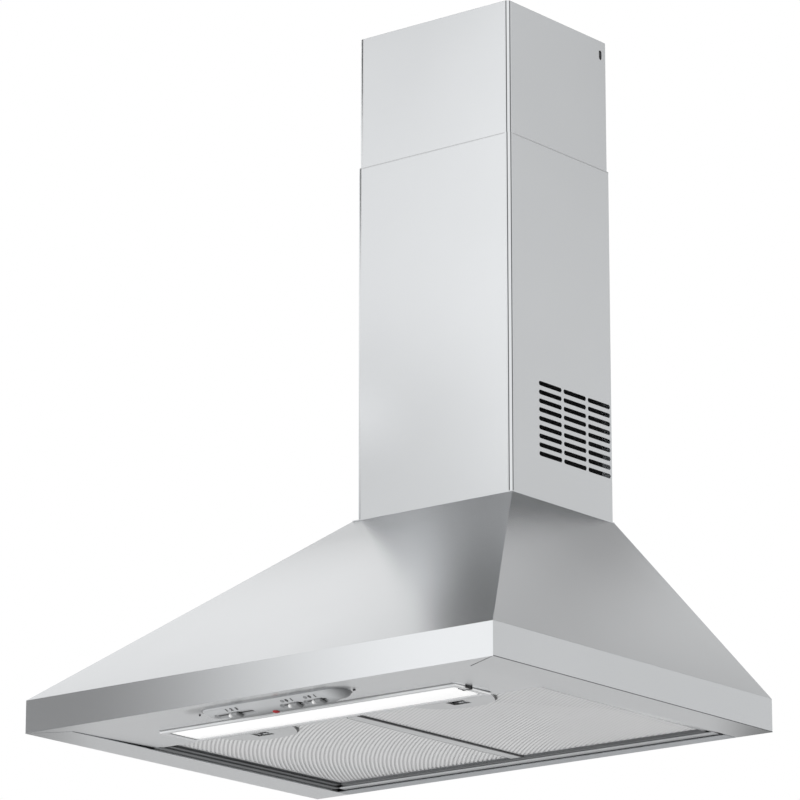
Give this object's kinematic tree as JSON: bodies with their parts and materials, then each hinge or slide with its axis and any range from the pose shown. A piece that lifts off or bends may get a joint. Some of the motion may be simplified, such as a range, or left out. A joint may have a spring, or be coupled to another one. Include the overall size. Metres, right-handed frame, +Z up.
{
  "type": "range hood",
  "caption": "Wall-hung kitchen range hood: steel pyramid canopy with drop-down grease filters, lamp and slide switches under a telescoping chimney with blower, damper and duct collar inside.",
  "frame": {"origin": "on the wall plane, at the middle of the canopy's bottom edge", "axes": "+X to the right seen from the front, +Y into the wall, +Z up"},
  "size_m": [0.6, 0.468, 0.7971],
  "materials": {
    "brushed_steel": "satin brushed stainless steel",
    "galvanised": "dull galvanised sheet",
    "seat_grey": "dark grey satin paint",
    "filter_aluminium": "bare aluminium",
    "silver_plastic": "silver grey satin moulding",
    "trim_plastic": "pale glossy moulding",
    "lens_white": "opal white diffuser",
    "black_plastic": "black moulding",
    "red_lens": "clear red",
    "lamp_glass": "frosted glass",
    "porcelain": "cream moulding",
    "blower_plastic": "grey moulding",
    "motor_steel": "grey steel",
    "zinc": "zinc plated",
    "board_green": "circuit board"
  },
  "bodies": {
    "hood": {"canopy_front": "brushed_steel", "canopy_left": "brushed_steel", "canopy_right": "brushed_steel", "front_panel": "brushed_steel", "lower_chimney": "brushed_steel", "neck_ring": "brushed_steel", "rear_panel": "galvanised", "lamp_tray": "galvanised", "blower_hanger": "galvanised", "capacitor_strap": "galvanised", "filter_seat": "seat_grey", "centre_rail": "filter_aluminium", "control_housing": "silver_plastic", "lamp_trim": "trim_plastic", "lens_clips": "black_plastic", "control_screws": "black_plastic", "speed_switch": "black_plastic", "light_switch": "black_plastic", "fan_switch": "black_plastic", "terminal_box": "black_plastic", "terminal_lid": "black_plastic", "cable_gland": "black_plastic", "pilot_lens": "red_lens", "lamp_left": "lamp_glass", "lamp_right": "lamp_glass", "lamp_holder_left": "porcelain", "lamp_holder_right": "porcelain", "terminal_block": "porcelain", "blower_casing": "blower_plastic", "casing_left": "blower_plastic", "casing_right": "blower_plastic", "inlet_ring": "blower_plastic", "outlet_collar": "blower_plastic", "collar_plate": "blower_plastic", "motor": "motor_steel", "hanger_screws": "zinc", "collar_screws": "zinc", "damper_pin": "zinc", "capacitor": "zinc", "control_board": "board_green"},
    "upper_sleeve": {"upper_chimney": "brushed_steel", "chimney_bracket": "galvanised"},
    "speed_knob": {"speed_knob": "silver_plastic"},
    "light_knob": {"light_knob": "silver_plastic"},
    "fan_knob": {"fan_knob": "silver_plastic"},
    "filter_left": {"filter_frame_left": "filter_aluminium", "filter_mesh_left": "filter_aluminium", "latch_plate_left": "filter_aluminium"},
    "filter_right": {"filter_frame_right": "filter_aluminium", "filter_mesh_right": "filter_aluminium", "latch_plate_right": "filter_aluminium"},
    "latch_left": {"filter_latch_left": "silver_plastic"},
    "latch_right": {"filter_latch_right": "silver_plastic"},
    "lens": {"lamp_lens": "lens_white"},
    "rotor": {"impeller": "blower_plastic", "motor_shaft": "zinc"},
    "flap_front": {"damper_flap_front": "blower_plastic"},
    "flap_rear": {"damper_flap_rear": "blower_plastic"}
  },
  "joints": [
    {"name": "chimney_slide", "type": "slide", "parent": "hood", "child": "upper_sleeve", "axis": [0, 0, 1], "range_m": [-0.145, 0.18]},
    {"name": "speed_slide", "type": "slide", "parent": "hood", "child": "speed_knob", "axis": [1, 0, 0], "range_m": [-0.0066, 0.0066]},
    {"name": "light_slide", "type": "slide", "parent": "hood", "child": "light_knob", "axis": [1, 0, 0], "range_m": [-0.0066, 0]},
    {"name": "fan_slide", "type": "slide", "parent": "hood", "child": "fan_knob", "axis": [1, 0, 0], "range_m": [-0.0066, 0]},
    {"name": "filter_left_swing", "type": "hinge", "parent": "hood", "child": "filter_left", "pos_m": [-0.12323, -0.0395, 0.0071], "axis": [1, 0, 0], "range_deg": [0, 75]},
    {"name": "filter_right_swing", "type": "hinge", "parent": "hood", "child": "filter_right", "pos_m": [0.12323, -0.0395, 0.0071], "axis": [1, 0, 0], "range_deg": [0, 75]},
    {"name": "latch_left_pull", "type": "slide", "parent": "filter_left", "child": "latch_left", "axis": [0, 1, 0], "range_m": [0, 0.005], "stiffness_N_per_m": 250, "springref_m": -0.004},
    {"name": "latch_right_pull", "type": "slide", "parent": "filter_right", "child": "latch_right", "axis": [0, 1, 0], "range_m": [0, 0.005], "stiffness_N_per_m": 250, "springref_m": -0.004},
    {"name": "lens_swing", "type": "hinge", "parent": "hood", "child": "lens", "pos_m": [0, -0.381, 0.0006], "axis": [-1, 0, 0], "range_deg": [0, 75]},
    {"name": "rotor_spin", "type": "hinge", "parent": "hood", "child": "rotor", "pos_m": [0, -0.108, 0.128], "axis": [1, 0, 0], "continuous": true},
    {"name": "flap_front_swing", "type": "hinge", "parent": "hood", "child": "flap_front", "pos_m": [0, -0.098, 0.268], "axis": [-1, 0, 0], "range_deg": [0, 70]},
    {"name": "flap_rear_swing", "type": "hinge", "parent": "hood", "child": "flap_rear", "pos_m": [0, -0.098, 0.268], "axis": [1, 0, 0], "range_deg": [0, 70]}
  ]
}
